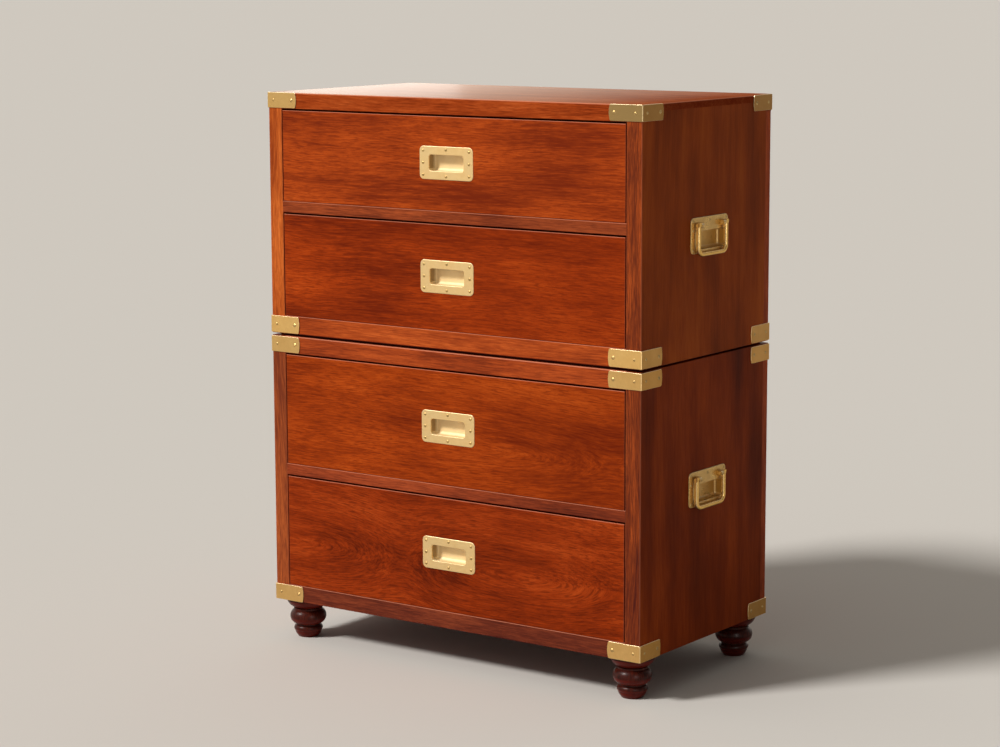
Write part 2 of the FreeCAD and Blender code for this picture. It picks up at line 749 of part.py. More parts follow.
def flush_pull():
    """A pull in one piece: face plate, finger opening and pressed pan with an undercut roof."""
    opening = centred_slab(
        PULL_OPENING_WIDTH,
        PULL_OPENING_HEIGHT,
        (-PULL_PROUD, PULL.let_in),
        PULL_OPENING_CORNER,
    )
    body = PULL.plate(opening).fuse(PULL.pan(PULL.let_in, PAN_WALL))
    return drilled(body.cut(PULL.pan(PULL.let_in)), pull_screw_places())


def pivot_lug():
    """The right-hand ear of a handle's plate, bored for the bail's pin."""
    near = LUG_SPACING / 2 - LUG_WIDTH / 2
    span = (near, near + LUG_WIDTH)
    stem = box(
        span,
        (-PIVOT_PROUD, -HANDLE_PROUD),
        (PIVOT_LEVEL - LUG_RADIUS, PIVOT_LEVEL + LUG_RADIUS),
    )
    along = Vector(1, 0, 0)
    start = Vector(near, -PIVOT_PROUD, PIVOT_LEVEL)
    knuckle = Part.makeCylinder(LUG_RADIUS, LUG_WIDTH, start, along)
    bore = Part.makeCylinder(PIN_RADIUS + PIN_CLEARANCE, LUG_WIDTH, start, along)
    return stem.fuse(knuckle).cut(bore)


def handle_plate():
    """A lifting handle's plate in one piece: recessed pan and two ears."""
    hollow = HANDLE.pan(-HANDLE_PROUD)
    body = HANDLE.plate(hollow).fuse(HANDLE.pan(HANDLE.let_in, PAN_WALL)).cut(HANDLE.pan(HANDLE.let_in))
    lug = pivot_lug()
    return drilled(body.multiFuse([lug, left_of(lug)]), handle_screw_places())


def bail():
    """A swinging bail: a U-shaped bar with a pin and a stopping heel at the top of each leg."""
    half = BAIL_WIDTH / 2
    bottom = -HANDLE_HEIGHT / 2 - BAIL_HANG
    depths = (-PIVOT_PROUD - BAIL_BAR / 2, -PIVOT_PROUD + BAIL_BAR / 2)
    outer = box((-half, half), depths, (bottom, PIVOT_LEVEL))
    outer = outer.makeFillet(BAIL_CORNER, edges_near(outer, "z", bottom, "y"))
    inner = box(
        (-half + BAIL_BAR, half - BAIL_BAR),
        depths,
        (bottom + BAIL_BAR, PIVOT_LEVEL),
    )
    inner = inner.makeFillet(BAIL_CORNER - BAIL_BAR, edges_near(inner, "z", bottom + BAIL_BAR, "y"))
    bar = outer.cut(inner)
    long_edges = edges_near(bar, "y", depths[0]) + edges_near(bar, "y", depths[1])
    not_top = [edge for edge in long_edges if edge.BoundBox.ZMin < PIVOT_LEVEL - 1e-4]
    bar = bar.makeFillet(BAIL_EASE, not_top)
    leg = (half - BAIL_BAR, half)
    pivot = Vector(leg[0], -PIVOT_PROUD, PIVOT_LEVEL)
    along = Vector(1, 0, 0)
    eye = Part.makeCylinder(BAIL_BAR / 2, BAIL_BAR, pivot, along)
    heel = box(leg, (depths[0], -PIVOT_PROUD), (PIVOT_LEVEL, PIVOT_LEVEL + BAIL_HEEL))
    pin_start = LUG_SPACING / 2 - LUG_WIDTH / 2
    pin = Part.makeCylinder(
        PIN_RADIUS,
        leg[0] - pin_start + BAIL_BAR / 2,
        Vector(pin_start, -PIVOT_PROUD, PIVOT_LEVEL),
        along,
    )
    fittings = [eye, heel, pin]
    return bar.multiFuse(fittings + [left_of(piece) for piece in fittings])


def on_right_side(shape, level):
    """Turns a fitting that faces -Y to face +X, and puts it on the right-hand side panel."""
    turned = shape.copy()
    turned.rotate(Vector(0, 0, 0), Vector(0, 0, 1), 90)
    turned.translate(Vector(HALF_WIDTH, HANDLE_OFFSET, level))
    return turned


def strap_leg(length, height):
    """One leg of a strap seen square on, from its corner to its bowed end, in the XZ plane."""
    end = length - STRAP_BOW
    corner = STRAP_CORNER
    cut = corner * (1 - math.sqrt(0.5))
    outline = [
        line((0, 0, 0), (-end + corner, 0, 0)),
        arc((-end + corner, 0, 0), (-end + cut, 0, cut), (-end, 0, corner)),
        arc((-end, 0, corner), (-length, 0, height / 2), (-end, 0, height - corner)),
        arc((-end, 0, height - corner), (-end + cut, 0, height - cut), (-end + corner, 0, height)),
        line((-end + corner, 0, height), (0, 0, height)),
        line((0, 0, height), (0, 0, 0)),
    ]
    return Part.Face(Part.Wire(outline)).extrude(Vector(0, -STRAP_THICKNESS, 0))


def onto_side(shape):
    """Carries what faces -Y at the right of the front round the corner, to face +X."""
    turned = shape.copy()
    turned.rotate(Vector(0, 0, 0), Vector(0, 0, 1), -90)
    return left_of(turned)


def strap_screw_places(length, height):
    return {
        STRAP_CORNER_HEAD_RADIUS: (-STRAP_CORNER_SCREW, height / 2),
        STRAP_END_HEAD_RADIUS: (STRAP_END_SCREW - length, height / 2),
    }


def on_strap_skin(point):
    """Whether a point lies on the outer face of either leg."""
    return abs(point.x - STRAP_THICKNESS) < 1e-4 or abs(point.y + STRAP_THICKNESS) < 1e-4


def corner_strap(height):
    """A strap bent round an upright corner: front leg on -Y, side leg on +X, corner at the origin."""
    legs = []
    for length in (STRAP_FRONT_LEG, STRAP_SIDE_LEG):
        leg = strap_leg(length, height)
        legs.append(drilled(leg, strap_screw_places(length, height).values()))
    corner = box((0, STRAP_THICKNESS), (-STRAP_THICKNESS, 0), (0, height))
    strap = legs[0].multiFuse([onto_side(legs[1]), corner]).removeSplitter()
    bend = [
        edge
        for edge in edges_near(strap, "x", STRAP_THICKNESS, "z")
        if abs(edge.Vertexes[0].Y + STRAP_THICKNESS) < 1e-4
    ]
    strap = strap.makeFillet(STRAP_BEND, bend)
    upright = edges_along(strap, "z")
    skin = [
        edge
        for edge in strap.Edges
        if len(edge.Vertexes) > 1
        and not any(edge.isSame(bend_edge) for bend_edge in upright)
        and all(on_strap_skin(vertex.Point) for vertex in edge.Vertexes)
    ]
    return strap.makeFillet(STRAP_EDGE, skin)


def strap_screws(height):
    """The screws of both legs of a strap whose corner is at the origin."""
    legs = []
    for length in (STRAP_FRONT_LEG, STRAP_SIDE_LEG):
        leg = []
        for head_radius, place in strap_screw_places(length, height).items():
            leg += screws_at([place], STRAP_THICKNESS, head_radius)
        legs.append(leg)
    return legs[0] + [onto_side(piece) for piece in legs[1]]


def at_four_corners(pieces, level):
    """Copies of what belongs to a front right corner, at all four corners of a case."""
    copies = []
    for piece in pieces:
        front_right = moved(piece, HALF_WIDTH, FRONT, level)
        back_right = mirrored(front_right, Vector(0, 1, 0))
        copies += [front_right, left_of(front_right), back_right, left_of(back_right)]
    return copies


def strap_levels(case):
    """The lowest and highest level of a case's lower and upper straps."""
    low_setback = 0.0 if case.seam_at_top else STRAP_EDGE_SETBACK
    high_setback = STRAP_EDGE_SETBACK if case.seam_at_top else 0.0
    return [
        (case.base + low_setback, case.floor - STRAP_OPENING_SETBACK),
        (case.ceiling + STRAP_OPENING_SETBACK, case.top - high_setback),
    ]


# Whole chest -----------------------------------------------------------------------------------


def save_case(case):
    """One case: panels, boards, rails, runners, stops, back, straps, handles and screws."""
    bottom_seam = None if case.seam_at_top else case.base
    bottom = housed_board(case.base, case.bottom_board, BACK_INNER, bottom_seam)
    housings = end_tongues(case.base, case.bottom_board, BACK_INNER)
    if case.lapped:
        top = lapped_top(case)
        bottom = bottom.cut(Part.makeCompound(peg_sockets()))
    else:
        top = housed_board(case.ceiling, case.top_board, BACK_INNER, case.top)
        top = top.cut(Part.makeCompound(stacking_pegs()))
        housings += end_tongues(case.ceiling, case.top_board, BACK_INNER)
        bottom = bottom.cut(Part.makeCompound(spigot_bores()))
        housings += spigot_bores()
    frames = []
    dividers = []
    for level in case.dividers:
        frame = web_frame(level)
        frames += frame
        dividers.append(divider_rail(level, frame))
        housings += end_tongues(level, DIVIDER_THICKNESS, FRONT + DIVIDER_DEPTH)
    stops = []
    for low, _ in case.openings.values():
        stops += drawer_stops(low)
    straps = []
    screws = []
    for low, high in strap_levels(case):
        straps += at_four_corners([corner_strap(high - low)], low)
        screws += at_four_corners(strap_screws(high - low), low)
    for piece in screws_at(handle_screw_places(), HANDLE_PROUD):
        right = on_right_side(piece, case.handle_level)
        screws += [right, left_of(right)]
    side = side_panel(case, housings, on_right_side(HANDLE.pocket(), case.handle_level))
    plate = on_right_side(handle_plate(), case.handle_level)
    swing = on_right_side(bail(), case.handle_level)
    save(f"{case.name}_side_right", side)
    save(f"{case.name}_side_left", left_of(side))
    save(f"{case.name}_bottom_board", bottom)
    save(f"{case.name}_top_board", top)
    save(f"{case.name}_divider_rail", *dividers)
    save(f"{case.name}_runners_and_stops", *frames, *stops)
    save(f"{case.name}_back_boards", *back_boards(case))
    save(f"{case.name}_corner_straps", *straps)
    save(f"{case.name}_brass_screws", *screws)
    save(f"{case.name}_handle_plate_right", plate)
    save(f"{case.name}_handle_plate_left", left_of(plate))
    save(f"{case.name}_bail_right", swing)
    save(f"{case.name}_bail_left", left_of(swing))


def save_feet():
    foot = turned_foot()
    for side, x in (("left", -1), ("right", 1)):
        for end, y in (("front", -1), ("back", 1)):
            place = (x * (HALF_WIDTH - FOOT_INSET), y * (BACK - FOOT_INSET))
            save(f"foot_{end}_{side}", moved(foot, *place))


def main():
    os.makedirs("parts", exist_ok=True)
    for case in (LOWER, UPPER):
        save_case(case)
        for drawer, opening in case.openings.items():
            save_drawer(drawer, opening)
    save("stacking_pegs", *stacking_pegs())
    save("seam_fillets", *seam_fillets())
    save_feet()


main()
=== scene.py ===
import math

import bpy
from mathutils import Matrix, Vector

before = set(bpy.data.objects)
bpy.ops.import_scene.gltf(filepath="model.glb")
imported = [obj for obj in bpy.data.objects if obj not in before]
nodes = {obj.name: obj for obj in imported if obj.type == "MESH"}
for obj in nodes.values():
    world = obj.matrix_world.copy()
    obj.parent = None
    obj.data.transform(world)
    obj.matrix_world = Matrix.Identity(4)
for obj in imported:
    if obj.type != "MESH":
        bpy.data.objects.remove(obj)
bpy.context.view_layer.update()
bpy.ops.object.select_all(action="DESELECT")


def far_corner(name):
    """How far a CAD node reaches to the right, to the back and up."""
    return [max(corner[axis] for corner in nodes[name].bound_box) for axis in range(3)]


HALF_WIDTH, HALF_DEPTH, HEIGHT = far_corner("upper_top_board")
BACK_BOARDS = 6


# Shader trees ------------------------------------------------------------------------------------


def tone(red, green, blue):
    """A linear colour from one given in 0 to 255 steps as a screen shows it."""
    channels = [value / 255 for value in (red, green, blue)]
    linear = [c / 12.92 if c <= 0.04045 else ((c + 0.055) / 1.055) ** 2.4 for c in channels]
    return (*linear, 1.0)


class Tree:
    """Adds shader nodes to one tree, each with its inputs set or linked as it is made."""

    def __init__(self, tree):
        self.tree = tree

    def add(self, kind, inputs=None, **settings):
        """A new node, with its inputs by name or number and its settings by name."""
        node = self.tree.nodes.new(kind)
        for name, value in settings.items():
            setattr(node, name, value)
        for key, value in (inputs or {}).items():
            self.feed(node.inputs[key], value)
        return node

    def feed(self, socket, value):
        """Links a socket to another one, or sets it to a plain value."""
        if isinstance(value, bpy.types.NodeSocket):
            self.tree.links.new(value, socket)
        else:
            socket.default_value = value

    def math(self, operation, *values, clamp=False):
        """A sum, product or other operation on values."""
        node = self.add("ShaderNodeMath", operation=operation, use_clamp=clamp)
        for socket, value in zip(node.inputs, values):
            self.feed(socket, value)
        return node.outputs["Value"]

    def vector_math(self, operation, *values):
        """An operation on vectors."""
        node = self.add("ShaderNodeVectorMath", operation=operation)
        for socket, value in zip(node.inputs, values):
            self.feed(socket, value)
        return node.outputs["Vector"]

    def axes(self, vector):
        """The three components of a vector."""
        split = self.add("ShaderNodeSeparateXYZ", {"Vector": vector})
        return [split.outputs[axis] for axis in "XYZ"]

    def noise(self, vector, factors, detail=2.0, roughness=0.5):
        """Noise on a vector, finer along the axes that have larger factors."""
        place = self.vector_math("MULTIPLY", vector, factors)
        inputs = {"Vector": place, "Scale": 1.0, "Detail": detail, "Roughness": roughness}
        return self.add("ShaderNodeTexNoise", inputs).outputs

    def group(self, tree, **inputs):
        """Another group in this tree; the names of its inputs are given in small letters."""
        node = self.add("ShaderNodeGroup", node_tree=tree)
        for name, value in inputs.items():
            self.feed(node.inputs[name.capitalize()], value)
        return node.outputs

    def remap(self, value, low, high, to_low=0.0, to_high=1.0, curve="LINEAR"):
        """A value carried from one span to another, and held at its ends."""
        span = {"From Min": low, "From Max": high, "To Min": to_low, "To Max": to_high}
        inputs = {"Value": value, **span}
        node = self.add("ShaderNodeMapRange", inputs, interpolation_type=curve)
        return node.outputs["Result"]

    def mix(self, factor, first, second):
        """A blend of two colours."""
        node = self.add("ShaderNodeMix", data_type="RGBA")
        sockets = {socket.identifier: socket for socket in (*node.inputs, *node.outputs)}
        self.feed(sockets["Factor_Float"], factor)
        self.feed(sockets["A_Color"], first)
        self.feed(sockets["B_Color"], second)
        return sockets["Result_Color"]


def new_group(name, inputs, outputs):
    """A node group with named sockets: its tree, its inputs and the node that takes its outputs."""
    group = bpy.data.node_groups.new(name, "ShaderNodeTree")
    for socket, kind, value in inputs:
        made = group.interface.new_socket(socket, in_out="INPUT", socket_type="NodeSocket" + kind)
        if value is not None:
            made.default_value = value
    for socket, kind in outputs:
        group.interface.new_socket(socket, in_out="OUTPUT", socket_type="NodeSocket" + kind)
    tree = Tree(group)
    return tree, tree.add("NodeGroupInput").outputs, tree.add("NodeGroupOutput").inputs


def make_arris():
    """Masks of rounded edges: those that look up or sideways, which take wear and a painted
    highlight, and those that look down, which take painted shade on wood.
    """
    tree, given, out = new_group(
        "arris",
        [("Normal", "Vector", None), ("Reach", "Float", 0.97)],
        [("Lit", "Float"), ("Under", "Float")],
    )
    x, y, z = tree.axes(tree.vector_math("ABSOLUTE", given["Normal"]))
    widest = tree.math("MAXIMUM", tree.math("MAXIMUM", x, y), z)
    edge = tree.remap(widest, 0.998, given["Reach"])
    rise = tree.axes(given["Normal"])[2]
    tree.feed(out["Lit"], tree.math("MULTIPLY", edge, tree.remap(rise, -0.1, 0.35)))
    tree.feed(out["Under"], tree.math("MULTIPLY", edge, tree.remap(rise, -0.05, -0.3)))
    return tree.tree


ARRIS = make_arris()
RELIEF_DEPTH = 0.0002


def new_material(name):
    """A material with its tree, its shader and its coordinates."""
    material = bpy.data.materials.new(name)
    material.use_nodes = True
    tree = Tree(material.node_tree)
    shader = material.node_tree.nodes["Principled BSDF"]
    return material, tree, shader, tree.add("ShaderNodeTexCoord").outputs


def add_relief(tree, shader, height, strength):
    """A faint relief from a height that varies over the surface."""
    inputs = {"Height": height, "Strength": strength, "Distance": RELIEF_DEPTH}
    tree.feed(shader.inputs["Normal"], tree.add("ShaderNodeBump", inputs).outputs["Normal"])


# Wood --------------------------------------------------------------------------------------------


def fibres(along, across):
    """Noise factors for marks with so many to a metre along the grain, and across it."""
    return (along, across, across)


def centred(tree, noise):
    """A noise value spread from -0.5 to 0.5."""
    return tree.remap(noise, 0.3, 0.7, -0.5, 0.5)


HEART_SLANT = 0.3


def make_timber_figure():
    """Straight-grained wood on a vector in metres whose X runs along the grain."""
    tree, given, out = new_group(
        "timber_figure",
        [
            ("Vector", "Vector", None),
            ("Light", "Color", tone(180, 74, 26)),
            ("Middle", "Color", tone(150, 56, 18)),
            ("Dark", "Color", tone(96, 30, 12)),
            ("Waviness", "Float", 0.02),
            ("Streaks", "Float", 1.0),
            ("Bands", "Float", 0.3),
            ("Blotches", "Float", 0.6),
            ("Pores", "Float", 0.4),
        ],
        [("Color", "Color"), ("Roughness", "Float"), ("Height", "Float")],
    )
    place = given["Vector"]
    drift = tree.noise(place, fibres(2.2, 4.5), 1.0)["Color"]
    drift = tree.vector_math("SUBTRACT", drift, (0.5, 0.5, 0.5))
    waves = {0: drift, "Scale": given["Waviness"]}
    waves = tree.add("ShaderNodeVectorMath", waves, operation="SCALE").outputs["Vector"]
    bent = tree.vector_math("ADD", place, waves)

    bands = tree.noise(bent, fibres(1.8, 26.0), 3.0, 0.55)["Fac"]
    streaks = tree.noise(bent, fibres(9.0, 130.0), 3.0, 0.6)["Fac"]
    threads = tree.noise(bent, fibres(26.0, 500.0), 2.0, 0.65)["Fac"]
    dashes = tree.noise(bent, fibres(46.0, 680.0), 1.0)["Fac"]
    pores = tree.noise(bent, fibres(110.0, 2200.0), 1.0)["Fac"]
    cloud = tree.noise(place, fibres(3.0, 7.0), 3.0)["Fac"]

    coarse = tree.math("MULTIPLY", streaks, 0.4)
    lines = centred(tree, tree.math("ADD", coarse, tree.math("MULTIPLY", threads, 0.6)))
    level = tree.math("MULTIPLY", lines, given["Streaks"])
    for marks, share in ((bands, given["Bands"]), (cloud, given["Blotches"])):
        level = tree.math("ADD", level, tree.math("MULTIPLY", centred(tree, marks), share))
    level = tree.math("ADD", level, 0.5, clamp=True)

    low = tree.mix(tree.remap(level, 0.0, 0.5), given["Dark"], given["Middle"])
    colour = tree.mix(tree.remap(level, 0.5, 1.0), low, given["Light"])
    pits = tree.math("MAXIMUM", tree.remap(dashes, 0.52, 0.64), tree.remap(pores, 0.58, 0.7))
    pits = tree.math("MULTIPLY", pits, given["Pores"])
    tree.feed(out["Color"], tree.mix(pits, colour, given["Dark"]))
    tree.feed(out["Roughness"], tree.remap(lines, -0.5, 0.5, 0.06, -0.04))
    tree.feed(out["Height"], tree.math("SUBTRACT", tree.math("MULTIPLY", threads, 0.35), pits))
    return tree.tree


def make_heart():
    """Bends the grain round a heart line along X, so that the lines close in arcs at a tip."""
    tree, given, out = new_group(
        "heart",
        [
            ("Vector", "Vector", None),
            ("Tip", "Vector", (0.0, 0.0, 0.0)),
            ("Reach", "Float", 0.1),
            ("Lift", "Float", 0.04),
        ],
        [("Vector", "Vector")],
    )
    across, _, up = tree.axes(tree.vector_math("SUBTRACT", given["Vector"], given["Tip"]))
    along = tree.math("DIVIDE", across, given["Reach"])
    flare = tree.math("ADD", tree.math("MULTIPLY", along, along), 1.0)
    closed = tree.math("DIVIDE", given["Lift"], flare)
    ring = tree.math("ADD", tree.math("MULTIPLY", up, up), tree.math("MULTIPLY", closed, closed))
    rise = tree.math("SUBTRACT", tree.math("SQRT", ring), up)
    slant = tree.math("MULTIPLY", up, HEART_SLANT)
    bend = tree.add("ShaderNodeCombineXYZ", {"Y": slant, "Z": rise}).outputs["Vector"]
    tree.feed(out["Vector"], tree.vector_math("ADD", given["Vector"], bend))
    return tree.tree


TIMBER_FIGURE = make_timber_figure()
HEART = make_heart()
ALONG = {
    "X": (0.0, 0.0, 0.0),
    "Y": (0.0, 0.0, math.radians(-90)),
    "Z": (0.0, math.radians(90), 0.0),
}
# Wear with a painted highlight, for rounded edges that look up or sideways.
WORN_AND_HIGHLIT_EDGE = tone(206, 128, 98)
# Painted shade in joints, in the seam and under edges; also the dark joints of the back boards.
SHADE_AND_DARK_JOINTS = tone(98, 18, 6)
# A painted sheen on the top.
PAINTED_TOP_SHEEN = tone(244, 194, 146)

# Spans in metres over which painted light grows: the sheen on the top and the shade on the fronts
# from left to right, and the shade in the seam up to a board's edge.
TOP_ENDS = (-0.38, 0.38)
DIM_ENDS = (-0.2, 0.3)
SEAM_RIM = (-0.02, -0.01)

BOARD_JUMP = 0.37


def figured(tree, vector, along, palette, shift=(0.0, 0.0, 0.0), **figure):
    """The timber figure with its grain along an axis."""
    place = {"Vector": vector, "Location": shift, "Rotation": ALONG[along]}
    turned = tree.add("ShaderNodeMapping", place).outputs["Vector"]
    light, middle, dark = palette
    return tree.group(TIMBER_FIGURE, vector=turned, light=light, middle=middle, dark=dark, **figure)


def part_boards(tree, vector, width):
    """Gives each upright board of a row its own part of the figure."""
    across = tree.math("ADD", tree.axes(vector)[0], HALF_WIDTH)
    count = tree.math("FLOOR", tree.math("DIVIDE", across, width))
    jump = {"Y": count, "Z": tree.math("MULTIPLY", count, BOARD_JUMP)}
    jump = tree.add("ShaderNodeCombineXYZ", jump).outputs["Vector"]
    return tree.vector_math("ADD", vector, jump)


def facing(tree, component, share=1.0):
    """A share where a face looks squarely along an axis, by that component of its normal."""
    return tree.remap(component, 0.9, 0.99, 0.0, share)


def darken_rim(tree, coordinates, colour):
    """Paints shade on the top of a board round its edge, where it shows in the seam between the
    cases.
    """
    across, depth, _ = tree.axes(tree.vector_math("ABSOLUTE", coordinates["Object"]))
    beside = tree.math("SUBTRACT", across, HALF_WIDTH)
    before = tree.math("SUBTRACT", depth, HALF_DEPTH)
    edge = tree.remap(tree.math("MAXIMUM", beside, before), *SEAM_RIM)
    rim = tree.math("MULTIPLY", edge, facing(tree, tree.axes(coordinates["Normal"])[2]))
    return tree.mix(tree.math("MULTIPLY", rim, 0.7), colour, SHADE_AND_DARK_JOINTS)


def polish_and_sheen_top(tree, shader, coordinates, colour):
    """Polishes the face that looks up and paints a pale sheen on it, both most at its left end."""
    across = tree.remap(tree.axes(coordinates["Object"])[0], *TOP_ENDS)
    upward = tree.remap(tree.axes(coordinates["Normal"])[2], 0.5, 0.95)
    gloss = tree.math("MULTIPLY", tree.remap(across, 0.0, 1.0, 1.0, 0.0), upward)
    tree.feed(shader.inputs["Coat Weight"], gloss)
    shader.inputs["Coat Roughness"].default_value = 0.26
    shader.inputs["Coat IOR"].default_value = 1.75
    painted_sheen = tree.math("MULTIPLY", upward, tree.remap(across, 0.0, 1.0, 0.4, 0.0))
    return tree.mix(painted_sheen, colour, PAINTED_TOP_SHEEN)


def timber(name, along, palette, hearts=(), stile=None, shut=(0.0, 0.0), edge=0.7,
           edge_tone=WORN_AND_HIGHLIT_EDGE, polished=False, dim=0.0, board=None, seam=False,
           roughness=0.44, specular=0.05, **figure):
    """A wood with its grain along an axis, and these marks:

    hearts: the tip, reach and lift of each set of arcs in the grain
    stile: a palette for the face that looks forward
    shut: how dark the painted shade on the faces in a joint is, on those that look along X and
    along Z
    edge, edge_tone: the wear of rounded edges that look up or sideways, which in the usual tone is
    also a painted highlight
    polished: a gloss and a painted sheen on the face that looks up
    dim: how much darker it grows towards the right, a painted shade
    board: the width of each board of a row
    seam: a dark rim of painted shade on the face that looks up
    """
    material, tree, shader, coordinates = new_material(name)
    vector = coordinates["Object"]
    if board:
        vector = part_boards(tree, vector, board)
    for tip, reach, lift in hearts:
        vector = tree.group(HEART, vector=vector, tip=tip, reach=reach, lift=lift)["Vector"]
    wood = figured(tree, vector, along, palette, **figure)
    colour = wood["Color"]
    x, y, z = tree.axes(coordinates["Normal"])
    if stile:
        front = figured(tree, vector, along, stile, (0.7, 0.2, 0.5),
                        waviness=0.05, blotches=0.7, bands=0.5)
        colour = tree.mix(tree.remap(y, -0.6, -0.85), colour, front["Color"])
    # Painted shade, darker towards the right.
    if dim:
        across = tree.axes(coordinates["Object"])[0]
        shade = tree.remap(across, *DIM_ENDS, 0.0, dim, "SMOOTHSTEP")
        colour = tree.mix(shade, colour, palette[2])
    # Painted shade on the faces in a joint.
    for component, share in zip((x, z), shut):
        if share:
            inward = facing(tree, tree.math("ABSOLUTE", component), share)
            colour = tree.mix(inward, colour, SHADE_AND_DARK_JOINTS)
    if seam:
        colour = darken_rim(tree, coordinates, colour)
    # Wear and a painted highlight on rounded edges that look up or sideways.
    arris = tree.group(ARRIS, normal=coordinates["Normal"])
    colour = tree.mix(tree.math("MULTIPLY", arris["Lit"], edge), colour, edge_tone)
    # Painted shade on rounded edges that look down.
    colour = tree.mix(tree.math("MULTIPLY", arris["Under"], 0.7), colour, SHADE_AND_DARK_JOINTS)
    if polished:
        colour = polish_and_sheen_top(tree, shader, coordinates, colour)
    tree.feed(shader.inputs["Base Color"], colour)
    tree.feed(shader.inputs["Roughness"], tree.math("ADD", wood["Roughness"], roughness))
    shader.inputs["Specular IOR Level"].default_value = specular
    add_relief(tree, shader, wood["Height"], 0.2)
    return material


# Brass -------------------------------------------------------------------------------------------


def make_brass_surface():
    """Satin brass: faint brushing, cloudy tone and a little dulling."""
    tree, given, out = new_group(
        "brass_surface",
        [
            ("Vector", "Vector", None),
            ("Bright", "Color", tone(226, 190, 128)),
            ("Dull", "Color", tone(176, 136, 76)),
            ("Dulling", "Float", 0.4),
            ("Roughness", "Float", 0.34),
        ],
        [("Color", "Color"), ("Roughness", "Float"), ("Height", "Float")],
    )
    place = given["Vector"]
    cloud = tree.noise(place, (38.0, 38.0, 38.0), 3.0, 0.6)["Fac"]
    brushing = tree.noise(place, (60.0, 60.0, 1400.0))["Fac"]
    specks = tree.noise(place, (520.0, 520.0, 520.0))["Fac"]
    dull = tree.math("MULTIPLY", tree.remap(cloud, 0.35, 0.7), given["Dulling"])
    dull = tree.math("ADD", dull, tree.remap(specks, 0.62, 0.75, 0.0, 0.18), clamp=True)
    tree.feed(out["Color"], tree.mix(dull, given["Bright"], given["Dull"]))
    rough = tree.math("ADD", given["Roughness"], tree.remap(cloud, 0.3, 0.7, -0.04, 0.08))
    rough = tree.math("ADD", rough, tree.remap(brushing, 0.3, 0.7, -0.03, 0.03))
    tree.feed(out["Roughness"], rough)
    tree.feed(out["Height"], tree.math("ADD", tree.math("MULTIPLY", brushing, 0.5), cloud))
    return tree.tree


BRASS_SURFACE = make_brass_surface()
# Pale brass for wear, also used as a painted highlight and painted light.
RUBBED_AND_HIGHLIT_BRASS = tone(255, 238, 196)
# A painted shade on brass.
PAINTED_BRASS_SHADE = tone(128, 92, 30)

# Spans in metres over which a mark grows: upwards and to the right, for the painted shade on the
# top straps, and into a pan, for its painted light and shade, and into a recess.
TOP_STRAPS = (HEIGHT - 0.062, HEIGHT - 0.042)
RIGHT_STRAPS = (0.1, 0.2)
PAN = (-HALF_DEPTH + 0.0005, -HALF_DEPTH + 0.003)
RECESS = (HALF_WIDTH + 0.001, HALF_WIDTH - 0.005)


def shade_and_highlight_bars(tree, normal, colour):
    """Round bars: painted shade on the faces that look down or back, and a painted highlight on
    those that look up or forward.
    """
    _, y, z = tree.axes(normal)
    shaded_faces = tree.math("MAXIMUM", tree.remap(z, -0.2, -0.8), tree.remap(y, 0.2, 0.8))
    highlit_faces = tree.math("MAXIMUM", tree.remap(z, 0.3, 0.8), tree.remap(y, -0.4, -0.9))
    colour = tree.mix(tree.math("MULTIPLY", shaded_faces, 0.8), colour, PAINTED_BRASS_SHADE)
    return tree.mix(tree.math("MULTIPLY", highlit_faces, 0.4), colour, RUBBED_AND_HIGHLIT_BRASS)


